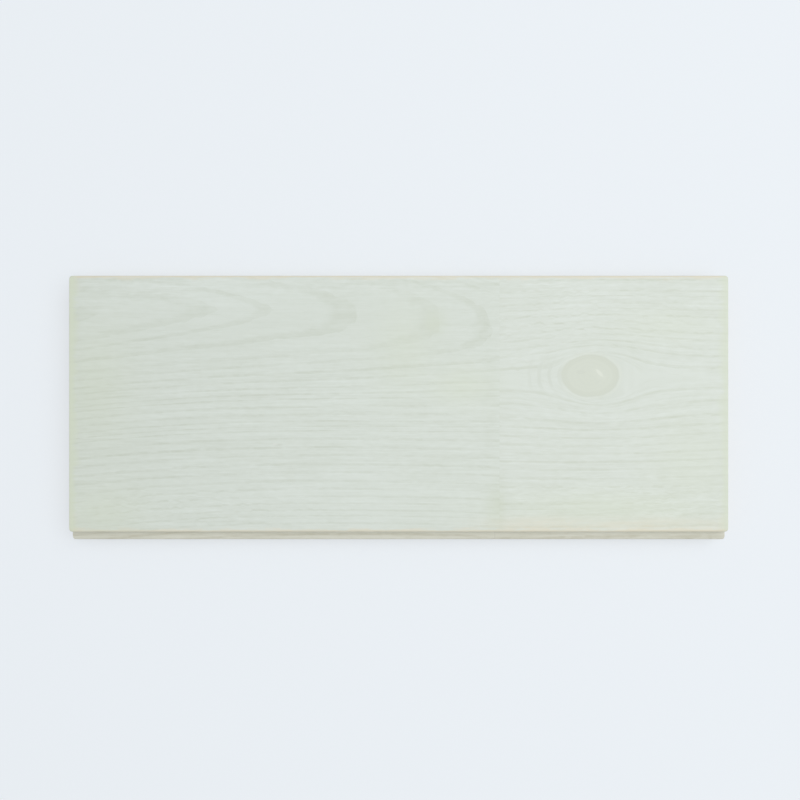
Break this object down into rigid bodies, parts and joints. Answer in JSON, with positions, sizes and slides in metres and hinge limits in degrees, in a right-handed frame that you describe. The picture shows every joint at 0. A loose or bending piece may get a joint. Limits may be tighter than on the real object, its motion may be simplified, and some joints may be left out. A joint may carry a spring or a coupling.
{
  "type": "tongue and groove board",
  "caption": "Short flat softwood board with a tongue on one long edge, a matching groove on the other and a finger joint across it, stained pale grey-green.",
  "frame": {"origin": "middle of the board's box, on the plane that the back lies on", "axes": "+X along the grain towards the shorter, knotted length; +Y across the board from the tongue to the groove; +Z out of the show face"},
  "size_m": [0.4572, 0.1842, 0.0191],
  "materials": {
    "left_length_stained_pine": "semi-opaque pale grey-green stain on planed pine, satin",
    "right_length_stained_pine": "semi-opaque pale grey-green stain on planed pine with one knot, satin"
  },
  "bodies": {
    "root": {"left_length": "left_length_stained_pine", "right_length": "right_length_stained_pine"}
  },
  "joints": []
}
